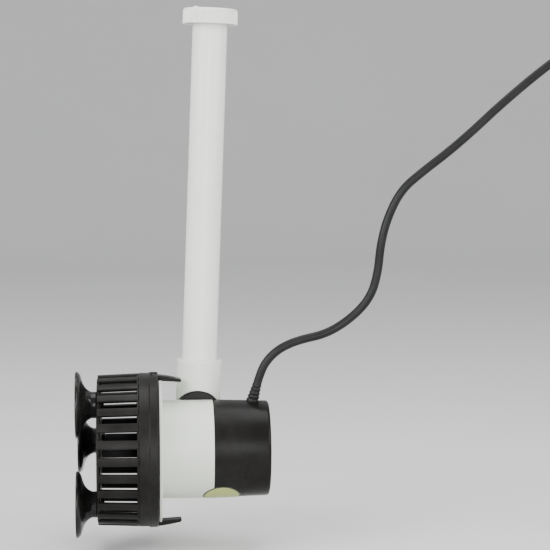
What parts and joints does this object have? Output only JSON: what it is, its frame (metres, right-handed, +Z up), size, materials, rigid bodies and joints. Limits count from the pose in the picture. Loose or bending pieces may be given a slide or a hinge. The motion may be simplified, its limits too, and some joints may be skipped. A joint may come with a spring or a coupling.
{
  "type": "fountain submersible pump",
  "caption": "Submersible fountain pump on suction cups: slotted strainer, round magnetic-drive motor, vertical riser with an adjustable water-bell head, and a power cord.",
  "frame": {"origin": "on the wall, in the middle of the three suction cups, on the pump's axis", "axes": "+X along the pump's axis, away from the wall; +Z up the riser; -Y is the front"},
  "size_m": [0.465, 0.1946, 0.3891],
  "materials": {
    "black_plastic": "moulded, soft gloss",
    "cup_rubber": "glossy moulded rubber",
    "white_plastic": "moulded, satin, faint green tint",
    "pipe_plastic": "extruded, satin",
    "cap_plastic": "moulded, satin, ribbed edge",
    "impeller_plastic": "moulded",
    "seal_rubber": "moulded rubber",
    "stainless_steel": "turned",
    "core_steel": "stacked laminations",
    "copper_winding": "enamelled wire",
    "resin": "poured resin",
    "magnet_ferrite": "sintered, ground",
    "white_ceramic": "polished ceramic",
    "label_film": "printed film, plain yellow green",
    "cord_sheath": "extruded rubber sheath, semi-gloss",
    "tie_plastic": "flexible strap",
    "plug_plastic": "moulded",
    "plug_brass": "plated brass"
  },
  "bodies": {
    "strainer": {"strainer_cage": "black_plastic", "suction_cup_1": "cup_rubber", "suction_cup_2": "cup_rubber", "suction_cup_3": "cup_rubber"},
    "tab_upper": {"release_tab_upper": "black_plastic"},
    "tab_lower": {"release_tab_lower": "black_plastic"},
    "pump": {"chamber_cover": "black_plastic", "strainer_o_ring": "seal_rubber", "chamber_gasket": "seal_rubber", "cover_screws": "stainless_steel", "chamber_housing": "white_plastic", "motor_housing": "black_plastic", "rotor_well": "black_plastic", "stator_core": "core_steel", "stator_coil_upper": "copper_winding", "stator_coil_lower": "copper_winding", "potting_resin": "resin", "round_label": "label_film", "shaft": "white_ceramic", "front_bush": "white_ceramic", "thrust_washer": "white_ceramic", "rear_bush": "seal_rubber", "outlet_hub": "black_plastic", "hub_plug": "black_plastic", "riser_socket": "white_plastic", "strain_relief": "cord_sheath", "power_cord": "cord_sheath", "cord_coil": "cord_sheath", "cord_tail": "cord_sheath", "coil_tie": "tie_plastic", "mains_plug": "plug_plastic", "plug_pins": "plug_brass"},
    "rotor": {"impeller": "impeller_plastic", "rotor_magnet": "magnet_ferrite"},
    "riser": {"riser_pipe": "pipe_plastic", "nozzle_insert": "pipe_plastic"},
    "spreader": {"spreader_disc": "cap_plastic", "head_stem": "stainless_steel"},
    "cap": {"bell_cap": "cap_plastic"}
  },
  "joints": [
    {"name": "pump_pull", "type": "slide", "parent": "strainer", "child": "pump", "axis": [1, 0, 0], "range_m": [0, 0.03]},
    {"name": "tab_upper_press", "type": "hinge", "parent": "strainer", "child": "tab_upper", "pos_m": [0.0566, -0.004, 0.0524], "axis": [0, 1, 0], "range_deg": [0, 5], "stiffness_Nm_per_rad": 0.1},
    {"name": "tab_lower_press", "type": "hinge", "parent": "strainer", "child": "tab_lower", "pos_m": [0.0566, -0.004, -0.0524], "axis": [0, -1, 0], "range_deg": [0, 5], "stiffness_Nm_per_rad": 0.1},
    {"name": "rotor_spin", "type": "hinge", "parent": "pump", "child": "rotor", "pos_m": [0.09, 0, 0], "axis": [1, 0, 0], "continuous": true},
    {"name": "riser_pull", "type": "slide", "parent": "pump", "child": "riser", "axis": [0.0349, 0, 0.9994], "range_m": [0, 0.014]},
    {"name": "head_lift", "type": "slide", "parent": "riser", "child": "spreader", "axis": [0.0349, 0, 0.9994], "range_m": [0, 0.002]},
    {"name": "cap_turn", "type": "hinge", "parent": "spreader", "child": "cap", "pos_m": [0.09752, 0.016, 0.30983], "axis": [0.0349, 0, 0.9994], "range_deg": [0, 360]}
  ],
  "couplings": [
    {"joint": "head_lift", "follows": "cap_turn", "m_per_rad": 0.000318}
  ]
}
